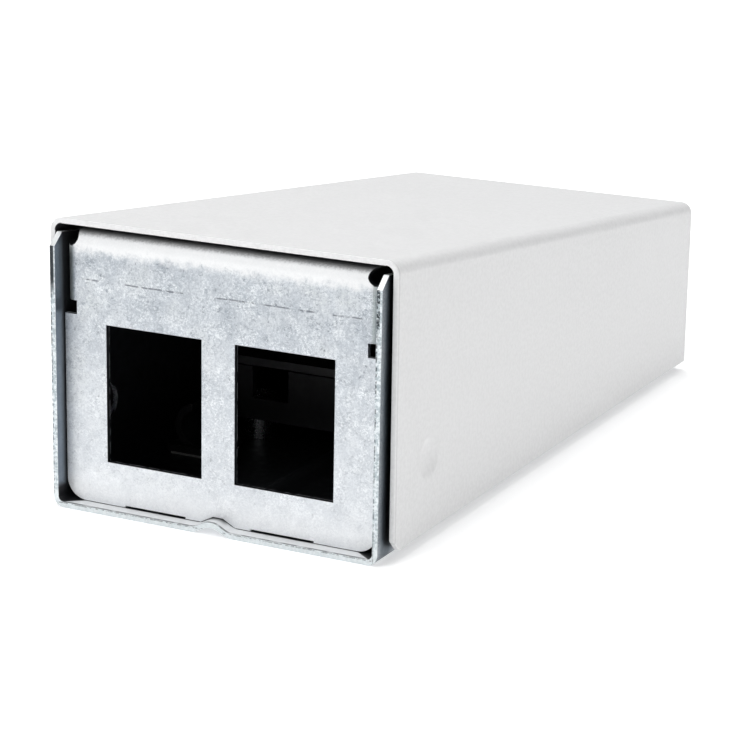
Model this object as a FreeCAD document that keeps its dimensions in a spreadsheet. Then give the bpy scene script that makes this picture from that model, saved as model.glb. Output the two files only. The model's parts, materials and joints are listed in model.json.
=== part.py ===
import FreeCAD, Part
import os

import Sketcher
from FreeCAD import Placement, Rotation, Vector

# Fiber termination box: a galvanised channel with a folded panel at each end, a lift-off painted cover,
# and a splice tray, cable clamp and earth point inside.  The box is a wedge: the cover's top falls from
# the module openings towards the cable entry.  Millimetres.  The origin is the centre of the footprint
# on the surface the box stands on, +Z is up, the module openings face -Y and +X is right.

DIMENSIONS = {
    # whole box
    "overall_length": 112.0,
    "sheet": 0.8,
    "overcut": 1.0,
    # cover
    "cover_width": 52.0,
    "cover_height": 40.0,
    "cover_rear_height": 28.4,
    "cover_foot": 1.4,
    "cover_bend": 1.8,
    "cover_splay": 0.2,
    "cover_side_gap": 0.4,
    "cover_corner_cut": 1.6,
    "dimple_sphere": 9.9,
    "dimple_depth": 0.5,
    "dimple_cap_angle": 67.0,
    "dimple_front_gap": 10.1,
    "dimple_height": 11.9,
    # channel
    "front_lip": 2.0,
    "base_top_gap": 1.1,
    "base_bend": 1.6,
    "wall_clip": 1.8,
    "rib_width": 5.2,
    "rib_top_width": 1.4,
    "rib_rise": 1.0,
    "rib_round": 2.0,
    "snap_hole_radius": 3.0,
    "fixing_hole_radius": 2.2,
    "fixing_spacing_x": 34.0,
    "fixing_spacing_y": 92.0,
    "fixing_centre_y": 1.5,
    # folded panels
    "panel_side_gap": 0.2,
    "panel_top_gap": 0.7,
    "panel_floor_gap": 0.1,
    "panel_foot_relief": 0.25,
    "panel_foot_inner": 5.0,
    "panel_foot_outer": 14.5,
    "panel_bend": 1.8,
    "panel_corner": 3.0,
    "top_flange_depth": 5.0,
    "side_flange_depth": 10.0,
    "side_flange_height": 9.6,
    "notch_rise": 1.9,
    "notch_width": 1.9,
    "relief_offset": 0.95,
    "relief_radius": 1.15,
    "arch_rise": 1.0,
    "arch_width": 5.3,
    "arch_top_width": 1.5,
    "rear_inset": 1.5,
    # module openings
    "port_width": 14.8,
    "port_height": 19.2,
    "port_sill": 6.9,
    "mullion": 5.0,
    # cable entry and grommet
    "entry_height": 10.0,
    "entry_radius": 5.5,
    "grommet_flange_radius": 7.2,
    "grommet_flange": 1.4,
    "grommet_bevel": 0.6,
    "grommet_clearance": 0.05,
    "grommet_bore_radius": 3.2,
    # rivets
    "rivet_radius": 1.2,
    "rivet_clearance": 0.02,
    "rivet_head_radius": 2.2,
    "rivet_head_face": 1.65,
    "rivet_head": 0.9,
    "rivet_inset": 6.5,
    # splice tray
    "tray_floor_height": 4.8,
    "tray_width": 44.0,
    "tray_length": 52.0,
    "tray_centre_y": 6.0,
    "tray_depth": 8.0,
    "tray_wall": 1.2,
    "tray_corner": 4.0,
    "tray_screw_x": 15.5,
    "tray_screw_y": 21.0,
    "mandrel_radius": 11.0,
    "mandrel_offset_y": -8.5,
    "mandrel_wall": 1.2,
    "mandrel_height": 6.0,
    "tray_gate_width": 6.0,
    "tray_gate_depth": 4.8,
    "tray_gate_x": 11.0,
    # tray lid and its hinge
    "lid_gap": 0.2,
    "lid_plate": 1.2,
    "hinge_length": 44.0,
    "lid_tab": 1.5,
    "lid_tab_length": 12.0,
    "hinge_inset": 1.5,
    "knuckle_radius": 1.7,
    "knuckle_length": 9.0,
    "hinge_pin_radius": 0.8,
    "hinge_clearance": 0.08,
    "ear_length": 2.4,
    "ear_round": 1.36,
    "ear_end_gap": 0.3,
    "ear_side_gap": 0.4,
    # splice comb
    "comb_width": 18.0,
    "comb_length": 15.0,
    "comb_height": 5.0,
    "comb_base": 1.0,
    "comb_slot": 2.6,
    "comb_pitch": 3.6,
    "comb_centre_y": 13.5,
    "pad_inset": 0.5,
    "pad_thickness": 0.4,
    # standoffs and screws
    "standoff_radius": 2.6,
    "standoff_bore": 1.3,
    "standoff_shank_radius": 1.9,
    "screw_shank_radius": 1.2,
    "screw_hole_radius": 1.4,
    "screw_tip": 0.3,
    "screw_head_radius": 2.6,
    "screw_head_edge": 0.8,
    "screw_head_crown_radius": 1.8,
    "screw_head": 1.6,
    "screw_recess_arm": 1.56,
    "screw_recess_width": 0.7,
    "screw_recess": 0.8,
    "tray_screw_length": 4.4,
    "clamp_screw_length": 5.0,
    # cable clamp
    "clamp_y": 43.5,
    "clamp_screw_x": 9.0,
    "clamp_standoff": 4.6,
    "clamp_half_width": 12.0,
    "clamp_length": 8.0,
    "clamp_plate": 1.2,
    "clamp_corner": 2.0,
    "clamp_arch_foot": 4.4,
    "clamp_arch_crest": 2.6,
    "clamp_arch_rise": 2.6,
    "clamp_foot_growth": 0.5,
    "clamp_crest_growth": 0.25,
    # strength member anchor
    "anchor_x": -18.5,
    "anchor_y": 38.5,
    "anchor_radius": 3.0,
    "anchor_height": 8.0,
    "anchor_hole_radius": 1.3,
    "anchor_hole_height": 4.6,
    "anchor_screw_length": 3.0,
    # earth point
    "earth_x": 18.0,
    "earth_y": 38.5,
    "stud_radius": 1.95,
    "stud_length": 9.0,
    "stud_tip": 0.5,
    "stud_head_radius": 3.4,
    "stud_head": 0.7,
    "washer_radius": 4.4,
    "washer_bore": 2.1,
    "washer_thickness": 0.8,
    "nut_flats": 7.0,
    "nut_height": 3.2,
    "nut_bore": 2.05,
    # fibre clips
    "clip_x": 18.5,
    "clip_y": -26.0,
    "clip_pad": 8.0,
    "clip_base": 1.0,
    "clip_outer_radius": 3.6,
    "clip_inner_radius": 2.6,
    "clip_slit": 1.4,
    "clip_length": 5.0,
    "adhesive": 0.5,
    "adhesive_inset": 0.3,
}

COMB_SLOT_STEPS = (-1.5, -0.5, 0.5, 1.5)
HEX_CORNER = 2.0 / 3.0 ** 0.5
SAME_PLACE = 0.02
SAME_DIRECTION = 1e-3
NO_CUT = 1e-6

doc = FreeCAD.newDocument("fiber_termination_box")


class Size:
    """A length that carries its value and the sheet formula that the document keeps for it."""

    def __init__(self, value, formula):
        self.value = value
        self.formula = formula

    def joined(self, other, sign, value):
        return Size(value, f"({self.formula} {sign} {as_size(other).formula})")

    def __add__(self, other):
        return self.joined(other, "+", self.value + as_size(other).value)

    def __sub__(self, other):
        return self.joined(other, "-", self.value - as_size(other).value)

    def __mul__(self, other):
        return self.joined(other, "*", self.value * as_size(other).value)

    def __rmul__(self, number):
        return as_size(number) * self

    def __truediv__(self, other):
        return self.joined(other, "/", self.value / as_size(other).value)

    def __neg__(self):
        return as_size(0.0) - self


def as_size(number):
    return number if isinstance(number, Size) else Size(float(number), repr(float(number)))


class Dimensions:
    """The driving spreadsheet; each cell is read as an attribute, such as dims.sheet."""

    def __init__(self, values):
        self.values = values
        sheet = doc.addObject("Spreadsheet::Sheet", "dims")
        for row, (alias, value) in enumerate(values.items(), start=1):
            sheet.set(f"A{row}", alias)
            sheet.set(f"B{row}", str(value))
            sheet.setAlias(f"B{row}", alias)

    def __getattr__(self, alias):
        return Size(self.values[alias], f"dims.{alias}")


dims = Dimensions(DIMENSIONS)
doc.recompute()


# ---- helpers: binding, sketches and features ----

def bind(target, prop, size):
    target.setExpression(prop, as_size(size).formula)


def place(target, x=0.0, y=0.0, z=0.0):
    for axis, size in zip("xyz", (x, y, z)):
        bind(target, f"Placement.Base.{axis}", size)


def new_body(label):
    body = doc.addObject("PartDesign::Body", label)
    body.Label = label
    return body


def new_sketch(body, name, role, offset=0.0):
    """An empty sketch on one of the body's own origin planes, moved along the plane's normal."""
    sketch = body.newObject("Sketcher::SketchObject", name)
    plane = [item for item in body.Origin.OriginFeatures if item.Role == role][0]
    sketch.AttachmentSupport = (plane, [""])
    sketch.MapMode = "FlatFace"
    bind(sketch, "AttachmentOffset.Base.z", offset)
    return sketch


def pin_point(sketch, geometry, vertex, x, y):
    for kind, size in (("DistanceX", as_size(x)), ("DistanceY", as_size(y))):
        index = sketch.addConstraint(Sketcher.Constraint(kind, -1, 1, geometry, vertex, size.value))
        sketch.setExpression(f"Constraints[{index}]", size.formula)


def polygon(sketch, points):
    """A closed outline whose every corner is tied to the sheet."""
    first = sketch.GeometryCount
    count = len(points)
    corners = [Vector(as_size(x).value, as_size(y).value, 0.0) for x, y in points]
    for i in range(count):
        sketch.addGeometry(Part.LineSegment(corners[i], corners[(i + 1) % count]), False)
    for i in range(count):
        following = first + (i + 1) % count
        sketch.addConstraint(Sketcher.Constraint("Coincident", first + i, 2, following, 1))
    for i, (x, y) in enumerate(points):
        pin_point(sketch, first + i, 1, x, y)


def rectangle(sketch, x_low, x_high, y_low, y_high):
    polygon(sketch, [(x_low, y_low), (x_high, y_low), (x_high, y_high), (x_low, y_high)])


def circle(sketch, x, y, radius):
    radius = as_size(radius)
    centre = Vector(as_size(x).value, as_size(y).value, 0.0)
    index = sketch.addGeometry(Part.Circle(centre, Vector(0, 0, 1), radius.value), False)
    pin_point(sketch, index, 3, x, y)
    constraint = sketch.addConstraint(Sketcher.Constraint("Radius", index, radius.value))
    sketch.setExpression(f"Constraints[{constraint}]", radius.formula)


def mirrored(points):
    """The left half's points followed by their mirror image, for an outline symmetric about x = 0."""
    return points + [(-as_size(x), y) for x, y in reversed(points)]


def pad(body, sketch, length, reverse=False):
    feature = body.newObject("PartDesign::Pad", f"{sketch.Name}_pad")
    feature.Profile = sketch
    feature.Reversed = reverse
    bind(feature, "Length", length)
    return feature


def pocket(body, sketch, length, reverse=False):
    """A cut; the volume is compared before and after, because a cut that misses shows no error."""
    doc.recompute()
    before = body.Shape.Volume
    feature = body.newObject("PartDesign::Pocket", f"{sketch.Name}_cut")
    feature.Profile = sketch
    feature.Reversed = reverse
    bind(feature, "Length", length)
    doc.recompute()
    if body.Shape.Volume >= before - NO_CUT:
        raise RuntimeError(f"{body.Label}: {sketch.Name} cuts nothing")
    return feature


def revolve(body, sketch):
    feature = body.newObject("PartDesign::Revolution", f"{sketch.Name}_turned")
    feature.Profile = sketch
    feature.ReferenceAxis = (sketch, ["V_Axis"])
    feature.Angle = 360.0
    return feature


def at_place(middle, centre):
    """True if the point has one of the wanted values on each axis that centre names."""
    return all(
        any(abs(getattr(middle, axis) - as_size(wanted).value) < SAME_PLACE for wanted in choices)
        for axis, choices in centre.items()
    )


def straight_edges(body, direction, **centre):
    """Names of the straight edges along direction whose middle has the given x, y or z."""
    doc.recompute()
    names = []
    for number, edge in enumerate(body.Shape.Edges, start=1):
        if edge.Curve.TypeId != "Part::GeomLine":
            continue
        lean = 1.0 - abs(edge.tangentAt(edge.FirstParameter).dot(direction))
        if lean < SAME_DIRECTION and at_place(edge.CenterOfMass, centre):
            names.append(f"Edge{number}")
    if not names:
        raise RuntimeError(f"{body.Label}: no edge at {centre}")
    return names


def flat_faces(body, **centre):
    """Names of the flat faces whose middle has the given x, y or z."""
    doc.recompute()
    names = [
        f"Face{number}"
        for number, face in enumerate(body.Shape.Faces, start=1)
        if face.Surface.TypeId == "Part::GeomPlane" and at_place(face.CenterOfMass, centre)
    ]
    if not names:
        raise RuntimeError(f"{body.Label}: no face at {centre}")
    return names


def dress(body, kind, name, size, edges):
    """A fillet or chamfer on the named edges of the body as it stands."""
    base = body.Tip
    feature = body.newObject(f"PartDesign::{kind}", f"{body.Name}_{name}")
    feature.Base = (base, edges)
    bind(feature, "Radius" if kind == "Fillet" else "Size", size)
    doc.recompute()
    return feature


def hollow(body, name, thickness, open_faces):
    """Leave a wall of the given thickness, grown inward, and take off the named faces."""
    base = body.Tip
    feature = body.newObject("PartDesign::Thickness", f"{body.Name}_{name}")
    feature.Base = (base, open_faces)
    feature.Reversed = True
    bind(feature, "Value", thickness)
    doc.recompute()
    return feature


ALONG_X, ALONG_Y, ALONG_Z = Vector(1, 0, 0), Vector(0, 1, 0), Vector(0, 0, 1)


def both(size):
    return (size, -as_size(size))


def in_order(first, second):
    return (first, second) if first.value < second.value else (second, first)


def turned_part(label, profile):
    """A body made by turning a closed (radius, height) profile about its own Z axis."""
    body = new_body(label)
    sketch = new_sketch(body, f"{label}_profile", "XZ_Plane")
    polygon(sketch, profile)
    revolve(body, sketch)
    return body


def group(label, members):
    """Identical pieces in one node, each still a solid of its own."""
    compound = doc.addObject("Part::Compound", label)
    compound.Links = members
    compound.Label = label
    return compound


# ---- places shared by several pieces ----

rear_y = dims.overall_length / 2
front_y = -rear_y
panel_y = front_y + dims.front_lip
rear_panel_y = rear_y - dims.rear_inset
cover_length = rear_y - panel_y
slope = (dims.cover_height - dims.cover_rear_height) / cover_length
base_half = dims.cover_width / 2 - dims.sheet - dims.cover_side_gap
base_inner = base_half - dims.sheet
tray_top = dims.tray_floor_height + dims.tray_depth
tray_front = dims.tray_centre_y - dims.tray_length / 2
tray_rear = dims.tray_centre_y + dims.tray_length / 2
hinge_x = dims.tray_width / 2 - dims.hinge_inset
hinge_z = tray_top + dims.lid_gap + dims.knuckle_radius
dimple_y = panel_y + dims.dimple_front_gap
tray_screw_points = [
    (x, dims.tray_centre_y + y) for x in both(dims.tray_screw_x) for y in both(dims.tray_screw_y)
]
clamp_screw_points = [(x, dims.clamp_y) for x in both(dims.clamp_screw_x)]
clip_points = [(x, dims.clip_y) for x in both(dims.clip_x)]


def ceiling_at(y):
    """Height of the cover's inner face, which falls towards the rear."""
    return dims.cover_height - dims.sheet - (y - panel_y) * slope


def wall_top_at(y):
    return ceiling_at(y) - dims.base_top_gap


def panel_top_at(face_y):
    return ceiling_at(face_y) - dims.panel_top_gap


def rivet_place(face_y, inward):
    """Distance along the box and height of the rivets that hold an end panel."""
    return face_y + inward * dims.rivet_inset, panel_top_at(face_y) - dims.side_flange_height / 2


rivet_places = (rivet_place(panel_y, 1.0), rivet_place(rear_panel_y, -1.0))
SLOPING = Vector(0.0, 1.0, -slope.value).normalize()


# ---- channel ----

def make_base_channel():
    body = new_body("base_channel")
    foot, crest = dims.rib_width / 2, dims.rib_top_width / 2
    profile = new_sketch(body, "base_profile", "XZ_Plane", -rear_y)
    front_top = wall_top_at(front_y)
    polygon(profile, mirrored([
        (-crest, dims.rib_rise),
        (-foot, 0.0),
        (-base_half, 0.0),
        (-base_half, front_top),
        (-base_inner, front_top),
        (-base_inner, dims.sheet),
        (-foot, dims.sheet),
        (-crest, dims.sheet + dims.rib_rise),
    ]))
    pad(body, profile, dims.overall_length)
    dress(body, "Fillet", "outer_bends", dims.base_bend,
          straight_edges(body, ALONG_Y, x=both(base_half), z=(0.0,)))
    dress(body, "Fillet", "inner_bends", dims.base_bend - dims.sheet,
          straight_edges(body, ALONG_Y, x=both(base_inner), z=(dims.sheet,)))
    rib_lines = straight_edges(body, ALONG_Y, x=both(foot), z=(0.0, dims.sheet))
    rib_lines += straight_edges(body, ALONG_Y, x=both(crest), z=(dims.rib_rise, dims.rib_rise + dims.sheet))
    dress(body, "Fillet", "rib_rounds", dims.rib_round, rib_lines)

    clip = dims.wall_clip
    wall_tops = new_sketch(body, "base_wall_tops", "YZ_Plane", -dims.cover_width)
    polygon(wall_tops, [
        (front_y, front_top - clip),
        (front_y + clip, wall_top_at(front_y + clip)),
        (rear_y - clip, wall_top_at(rear_y - clip)),
        (rear_y, wall_top_at(rear_y) - clip),
        (rear_y, front_top + dims.overcut),
        (front_y, front_top + dims.overcut),
    ])
    pocket(body, wall_tops, dims.cover_width * 2, reverse=True)

    floor_holes = new_sketch(body, "base_floor_holes", "XY_Plane")
    for x in both(dims.fixing_spacing_x / 2):
        for y in both(dims.fixing_spacing_y / 2):
            circle(floor_holes, x, dims.fixing_centre_y + y, dims.fixing_hole_radius)
    for x, y in tray_screw_points + clamp_screw_points:
        circle(floor_holes, x, y, dims.standoff_shank_radius)
    circle(floor_holes, dims.anchor_x, dims.anchor_y, dims.standoff_shank_radius)
    circle(floor_holes, dims.earth_x, dims.earth_y, dims.stud_radius)
    pocket(body, floor_holes, dims.sheet * 2, reverse=True)

    wall_holes = new_sketch(body, "base_wall_holes", "YZ_Plane", -dims.cover_width)
    circle(wall_holes, dimple_y, dims.dimple_height, dims.snap_hole_radius)
    for y, z in rivet_places:
        circle(wall_holes, y, z, dims.rivet_radius)
    pocket(body, wall_holes, dims.cover_width * 2, reverse=True)
    return body


# ---- folded panels ----

def panel_outline(half, top, bottom, flange_bottom):
    """Half of an end panel's outline: corner notch, shallow foot relief and the arch over the rib."""
    arch_foot, arch_crest = dims.arch_width / 2, dims.arch_top_width / 2
    notch_x = half - dims.notch_width
    notch_low = flange_bottom - dims.notch_rise
    relief = bottom + dims.panel_foot_relief
    return [
        (-half, top),
        (-half, flange_bottom),
        (-notch_x, flange_bottom),
        (-notch_x, notch_low),
        (-half, notch_low),
        (-half, bottom),
        (-dims.panel_foot_outer, bottom),
        (-dims.panel_foot_outer, relief),
        (-dims.panel_foot_inner, relief),
        (-dims.panel_foot_inner, bottom),
        (-arch_foot, bottom),
        (-arch_crest, bottom + dims.arch_rise),
    ]


def make_folded_panel(label, face_y, inward, cut_openings):
    """An end panel: flat face, top flange and two short side flanges folded inward."""
    body = new_body(label)
    half = base_inner - dims.panel_side_gap
    top = panel_top_at(face_y)
    bottom = dims.sheet + dims.panel_floor_gap
    flange_bottom = top - dims.side_flange_height
    flange_end = half - dims.relief_offset
    inner_y = face_y + inward * dims.sheet
    away = inward > 0

    face = new_sketch(body, f"{label}_face", "XZ_Plane", -face_y)
    polygon(face, mirrored(panel_outline(half, top, bottom, flange_bottom)))
    pad(body, face, dims.sheet, reverse=away)
    top_flange = new_sketch(body, f"{label}_top_flange", "XY_Plane", top)
    rectangle(top_flange, -half, half, *in_order(face_y, face_y + inward * dims.top_flange_depth))
    pad(body, top_flange, dims.sheet, reverse=True)
    side_flanges = new_sketch(body, f"{label}_side_flanges", "XY_Plane", flange_bottom)
    flange_ys = in_order(face_y, face_y + inward * dims.side_flange_depth)
    rectangle(side_flanges, -half, -half + dims.sheet, *flange_ys)
    rectangle(side_flanges, half - dims.sheet, half, *flange_ys)
    pad(body, side_flanges, dims.side_flange_height)

    outer = straight_edges(body, ALONG_X, y=(face_y,), z=(top,))
    outer_middle = (top + flange_bottom) / 2
    outer += straight_edges(body, ALONG_Z, y=(face_y,), x=both(half), z=(outer_middle,))
    dress(body, "Fillet", "outer_bends", dims.panel_bend, outer)
    inner = straight_edges(body, ALONG_X, y=(inner_y,), z=(top - dims.sheet,))
    inner_middle = outer_middle - dims.sheet / 2
    inner += straight_edges(body, ALONG_Z, y=(inner_y,), x=both(half - dims.sheet), z=(inner_middle,))
    dress(body, "Fillet", "inner_bends", dims.panel_bend - dims.sheet, inner)
    dress(body, "Fillet", "lower_corners", dims.panel_corner,
          straight_edges(body, ALONG_Y, x=both(half), z=(bottom,)))

    relief_z = top - dims.relief_offset
    corners = new_sketch(body, f"{label}_corners", "XZ_Plane", -face_y)
    rectangle(corners, -half - dims.overcut, -flange_end, relief_z, top + dims.overcut)
    rectangle(corners, flange_end, half + dims.overcut, relief_z, top + dims.overcut)
    reliefs = new_sketch(body, f"{label}_reliefs", "XZ_Plane", -face_y)
    for x in both(flange_end):
        circle(reliefs, x, relief_z, dims.relief_radius)
    for cut in (corners, reliefs):
        pocket(body, cut, dims.side_flange_depth, reverse=not away)

    openings = new_sketch(body, f"{label}_openings", "XZ_Plane", -face_y)
    cut_openings(openings)
    pocket(body, openings, dims.sheet * 2, reverse=not away)

    rivet_holes = new_sketch(body, f"{label}_rivet_holes", "YZ_Plane", -dims.cover_width)
    rivet_y, rivet_z = rivet_place(face_y, inward)
    circle(rivet_holes, rivet_y, rivet_z, dims.rivet_radius)
    pocket(body, rivet_holes, dims.cover_width * 2, reverse=True)
    return body


def cut_module_ports(sketch):
    near, far = dims.mullion / 2, dims.mullion / 2 + dims.port_width
    for low, high in ((-far, -near), (near, far)):
        rectangle(sketch, low, high, dims.port_sill, dims.port_sill + dims.port_height)


def cut_cable_entry(sketch):
    circle(sketch, 0.0, dims.entry_height, dims.entry_radius)


# ---- cover ----

def make_cover():
    """A wedge-shaped block with its lower face and both ends taken off, hollowed to a bent sheet."""
    body = new_body("cover")
    half, top, foot = dims.cover_width / 2, dims.cover_height, dims.cover_foot
    profile = new_sketch(body, "cover_profile", "XZ_Plane", -rear_y)
    polygon(profile, mirrored([(-half, top), (-half - dims.cover_splay, foot)]))
    pad(body, profile, cover_length)
    fall = new_sketch(body, "cover_fall", "YZ_Plane", -dims.cover_width)
    above = top + dims.overcut
    polygon(fall, [(panel_y, top), (rear_y, dims.cover_rear_height), (rear_y, above), (panel_y, above)])
    pocket(body, fall, dims.cover_width * 2, reverse=True)
    long_edges = straight_edges(body, SLOPING, y=((panel_y + rear_y) / 2,))
    dress(body, "Fillet", "outer_bends", dims.cover_bend, long_edges)
    open_faces = flat_faces(body, z=(foot,)) + flat_faces(body, y=(panel_y,)) + flat_faces(body, y=(rear_y,))
    hollow(body, "sheet_metal", dims.sheet, open_faces)
    dress(body, "Chamfer", "clipped_corners", dims.cover_corner_cut,
          straight_edges(body, ALONG_X, y=(panel_y,), z=(foot,)))

    # each snap dimple is a shallow spherical dent outside and the matching cap inside
    lean = dims.cover_splay * (top - dims.dimple_height) / top
    dent_centre = half + lean - dims.dimple_depth + dims.dimple_sphere
    for side, sign in (("left", -1.0), ("right", 1.0)):
        cap = body.newObject("PartDesign::AdditiveSphere", f"cap_{side}")
        cap.Placement = Placement(Vector(), Rotation(Vector(0, 1, 0), -90.0 * sign))
        bind(cap, "Angle1", dims.dimple_cap_angle)
        cap.Angle2 = 90.0
        dent = body.newObject("PartDesign::SubtractiveSphere", f"dent_{side}")
        for feature, centre in ((cap, dent_centre - dims.sheet), (dent, dent_centre)):
            bind(feature, "Radius", dims.dimple_sphere)
            place(feature, centre * sign, dimple_y, dims.dimple_height)
    return body


# ---- panel rivets ----

def make_rivets(label, y, z):
    """One flush rivet through each channel wall and panel flange, with its head inside the box."""
    rivets = []
    grip = dims.sheet * 2 + dims.panel_side_gap
    shank = dims.rivet_radius - dims.rivet_clearance
    for side, sign in (("left", -1.0), ("right", 1.0)):
        rivet = turned_part(f"{label}_{side}", [
            (0.0, 0.0),
            (shank, 0.0),
            (shank, grip),
            (dims.rivet_head_radius, grip),
            (dims.rivet_head_face, grip + dims.rivet_head),
            (0.0, grip + dims.rivet_head),
        ])
        rivet.Placement = Placement(Vector(), Rotation(Vector(0, 1, 0), -90.0 * sign))
        place(rivet, base_half * sign, y, z)
        rivets.append(rivet)
    return group(label, rivets)


# ---- cable grommet ----

def make_cable_grommet():
    """A rubber ring whose groove grips the edge of the cable entry."""
    flange, groove = dims.grommet_flange, dims.sheet
    groove_radius = dims.entry_radius - dims.grommet_clearance
    face_radius = dims.grommet_flange_radius - dims.grommet_bevel
    ring = turned_part("cable_grommet", [
        (dims.grommet_bore_radius, 0.0),
        (face_radius, 0.0),
        (dims.grommet_flange_radius, flange),
        (groove_radius, flange),
        (groove_radius, flange + groove),
        (dims.grommet_flange_radius, flange + groove),
        (face_radius, flange * 2 + groove),
        (dims.grommet_bore_radius, flange * 2 + groove),
    ])
    ring.Placement = Placement(Vector(), Rotation(Vector(1, 0, 0), 90.0))
    place(ring, 0.0, rear_panel_y + flange, dims.entry_height)
    return ring


# ---- standoffs and screws ----

def make_standoff(label, x, y, height):
    """A press-in threaded post whose shank fills its hole in the floor."""
    post = turned_part(label, [
        (dims.standoff_bore, 0.0),
        (dims.standoff_shank_radius, 0.0),
        (dims.standoff_shank_radius, dims.sheet),
        (dims.standoff_radius, dims.sheet),
        (dims.standoff_radius, dims.sheet + height),
        (dims.standoff_bore, dims.sheet + height),
    ])
    place(post, x, y)
    return post


def make_screw(label, x, y, seat_z, length):
    """A pan-head screw with a cross recess; seat_z is the underside of its head."""
    screw = turned_part(label, [
        (0.0, -length),
        (dims.screw_shank_radius - dims.screw_tip, -length),
        (dims.screw_shank_radius, dims.screw_tip - length),
        (dims.screw_shank_radius, 0.0),
        (dims.screw_head_radius, 0.0),
        (dims.screw_head_radius, dims.screw_head_edge),
        (dims.screw_head_crown_radius, dims.screw_head),
        (0.0, dims.screw_head),
    ])
    cross = new_sketch(screw, f"{label}_cross", "XY_Plane", dims.screw_head)
    arm, bar = dims.screw_recess_arm, dims.screw_recess_width / 2
    polygon(cross, [
        (bar, bar), (arm, bar), (arm, -bar), (bar, -bar), (bar, -arm), (-bar, -arm),
        (-bar, -bar), (-arm, -bar), (-arm, bar), (-bar, bar), (-bar, arm), (bar, arm),
    ])
    pocket(screw, cross, dims.screw_recess)
    place(screw, x, y, seat_z)
    return screw


# ---- splice tray, lid and comb ----

def make_splice_tray():
    body = new_body("splice_tray")
    half, wall = dims.tray_width / 2, dims.tray_wall
    floor = dims.tray_floor_height
    outline = new_sketch(body, "tray_outline", "XY_Plane", floor)
    rectangle(outline, -half, half, tray_front, tray_rear)
    pad(body, outline, dims.tray_depth)
    hollow = new_sketch(body, "tray_hollow", "XY_Plane", tray_top)
    rectangle(hollow, wall - half, half - wall, tray_front + wall, tray_rear - wall)
    pocket(body, hollow, dims.tray_depth - wall)
    dress(body, "Fillet", "inner_corners", dims.tray_corner - wall,
          straight_edges(body, ALONG_Z, x=both(half - wall), y=(tray_front + wall, tray_rear - wall)))
    dress(body, "Fillet", "outer_corners", dims.tray_corner,
          straight_edges(body, ALONG_Z, x=both(half), y=(tray_front, tray_rear)))

    mandrel_y = dims.tray_centre_y + dims.mandrel_offset_y
    mandrel = new_sketch(body, "tray_mandrel", "XY_Plane", floor + wall)
    circle(mandrel, 0.0, mandrel_y, dims.mandrel_radius)
    circle(mandrel, 0.0, mandrel_y, dims.mandrel_radius - dims.mandrel_wall)
    pad(body, mandrel, dims.mandrel_height)

    ear_front = dims.tray_centre_y - dims.hinge_length / 2 - dims.ear_end_gap - dims.ear_length
    ear_rear = dims.tray_centre_y + dims.hinge_length / 2 + dims.ear_end_gap
    ear_top = hinge_z + dims.knuckle_radius
    ear_low_x = hinge_x - dims.knuckle_radius
    ears = new_sketch(body, "tray_ears", "XY_Plane", floor + wall)
    for low in (ear_front, ear_rear):
        rectangle(ears, ear_low_x, half, low, low + dims.ear_length)
    pad(body, ears, ear_top - floor - wall)
    dress(body, "Fillet", "ear_tops", dims.ear_round,
          straight_edges(body, ALONG_Y, x=(ear_low_x, half), z=(ear_top,)))
    pin_hole = new_sketch(body, "tray_pin_hole", "XZ_Plane", -tray_rear)
    circle(pin_hole, hinge_x, hinge_z, dims.hinge_pin_radius)
    pocket(body, pin_hole, dims.tray_length, reverse=True)

    gates = new_sketch(body, "tray_gates", "XY_Plane", tray_top)
    for x in both(dims.tray_gate_x):
        for y in (tray_front, tray_rear):
            rectangle(gates, x - dims.tray_gate_width / 2, x + dims.tray_gate_width / 2,
                      y - wall * 2, y + wall * 2)
    pocket(body, gates, dims.tray_gate_depth)
    screw_holes = new_sketch(body, "tray_screw_holes", "XY_Plane", floor)
    for x, y in tray_screw_points:
        circle(screw_holes, x, y, dims.screw_hole_radius)
    pocket(body, screw_holes, wall, reverse=True)
    return body


def make_tray_lid():
    """A flat lid with two knuckles on its right edge and a finger tab on its left edge."""
    body = new_body("tray_lid")
    bottom = tray_top + dims.lid_gap
    low_y = dims.tray_centre_y - dims.hinge_length / 2
    high_y = dims.tray_centre_y + dims.hinge_length / 2
    left = -dims.tray_width / 2
    plate = new_sketch(body, "lid_plate", "XY_Plane", bottom)
    shoulder = hinge_x - dims.knuckle_radius - dims.ear_side_gap
    tab_low = dims.tray_centre_y - dims.lid_tab_length / 2
    tab_high = dims.tray_centre_y + dims.lid_tab_length / 2
    polygon(plate, [
        (hinge_x, low_y), (hinge_x, high_y), (shoulder, high_y), (shoulder, tray_rear),
        (left, tray_rear), (left, tab_high), (left - dims.lid_tab, tab_high),
        (left - dims.lid_tab, tab_low), (left, tab_low), (left, tray_front),
        (shoulder, tray_front), (shoulder, low_y),
    ])
    pad(body, plate, dims.lid_plate)
    dress(body, "Fillet", "corners", dims.tray_corner,
          straight_edges(body, ALONG_Z, x=(left,), y=(tray_front, tray_rear)))

    for name, start in (("front", high_y), ("rear", low_y + dims.knuckle_length)):
        knuckle = new_sketch(body, f"lid_knuckle_{name}", "XZ_Plane", -start)
        circle(knuckle, hinge_x, hinge_z, dims.knuckle_radius)
        pad(body, knuckle, dims.knuckle_length)
    bore = new_sketch(body, "lid_bore", "XZ_Plane", -high_y)
    circle(bore, hinge_x, hinge_z, dims.hinge_pin_radius + dims.hinge_clearance)
    pocket(body, bore, dims.hinge_length, reverse=True)
    return body


def make_hinge_pin():
    body = new_body("lid_hinge_pin")
    ends = dims.hinge_length / 2 + dims.ear_end_gap + dims.ear_length
    section = new_sketch(body, "pin_section", "XZ_Plane", -(dims.tray_centre_y + ends))
    circle(section, hinge_x, hinge_z, dims.hinge_pin_radius)
    pad(body, section, ends * 2)
    return body


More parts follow.
